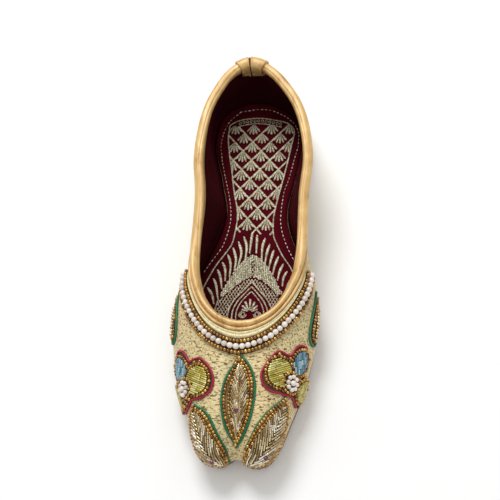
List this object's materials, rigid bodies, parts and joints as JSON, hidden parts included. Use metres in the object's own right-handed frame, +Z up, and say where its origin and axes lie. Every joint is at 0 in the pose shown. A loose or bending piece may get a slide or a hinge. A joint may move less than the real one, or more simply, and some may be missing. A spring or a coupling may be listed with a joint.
{
  "type": "mojari shoe",
  "caption": "Straight-lasted slip-on shoe with a beaded cloth upper over rounded toe lobes, a rolled collar binding, a padded insole and a flat leather sole.",
  "frame": {"origin": "on the floor, under the middle of the shoe's box", "axes": "+Z up, +Y towards the heel, -Y towards the toe, +X towards the right of someone who faces the toe from the front"},
  "size_m": [0.0852, 0.248, 0.0536],
  "materials": {
    "gold_cloth": "crinkled metallic gold cloth with dark specks",
    "sole_leather": "burnished edge, buffed underside",
    "velvet": "dark maroon velvet",
    "leatherette": "soft tan gold leatherette with a low sheen",
    "gold_beads": "glossy gold seed beads",
    "pearls": "pale pearl lustre",
    "beadwork": "raised pad of silver and gold bugle beads",
    "green_cord": "twisted silk cord",
    "magenta_cord": "twisted silk cord",
    "zari_thread": "pale gold embroidery thread",
    "lime_bugles": "yellow-green bugle beads",
    "blue_bugles": "blue bugle beads",
    "stones": "small magenta stones"
  },
  "bodies": {
    "root": {"outsole": "sole_leather", "upper": "gold_cloth", "insole": "velvet", "collar_binding": "leatherette", "throat_band": "leatherette", "gold_row_upper": "gold_beads", "pearl_row": "pearls", "gold_row_lower": "gold_beads", "leaf_centre": "beadwork", "leaf_toe_left": "beadwork", "leaf_toe_right": "beadwork", "flower_left": "beadwork", "flower_right": "beadwork", "leaf_side_left": "beadwork", "leaf_side_right": "beadwork", "heel_tab": "leatherette"}
  },
  "joints": []
}
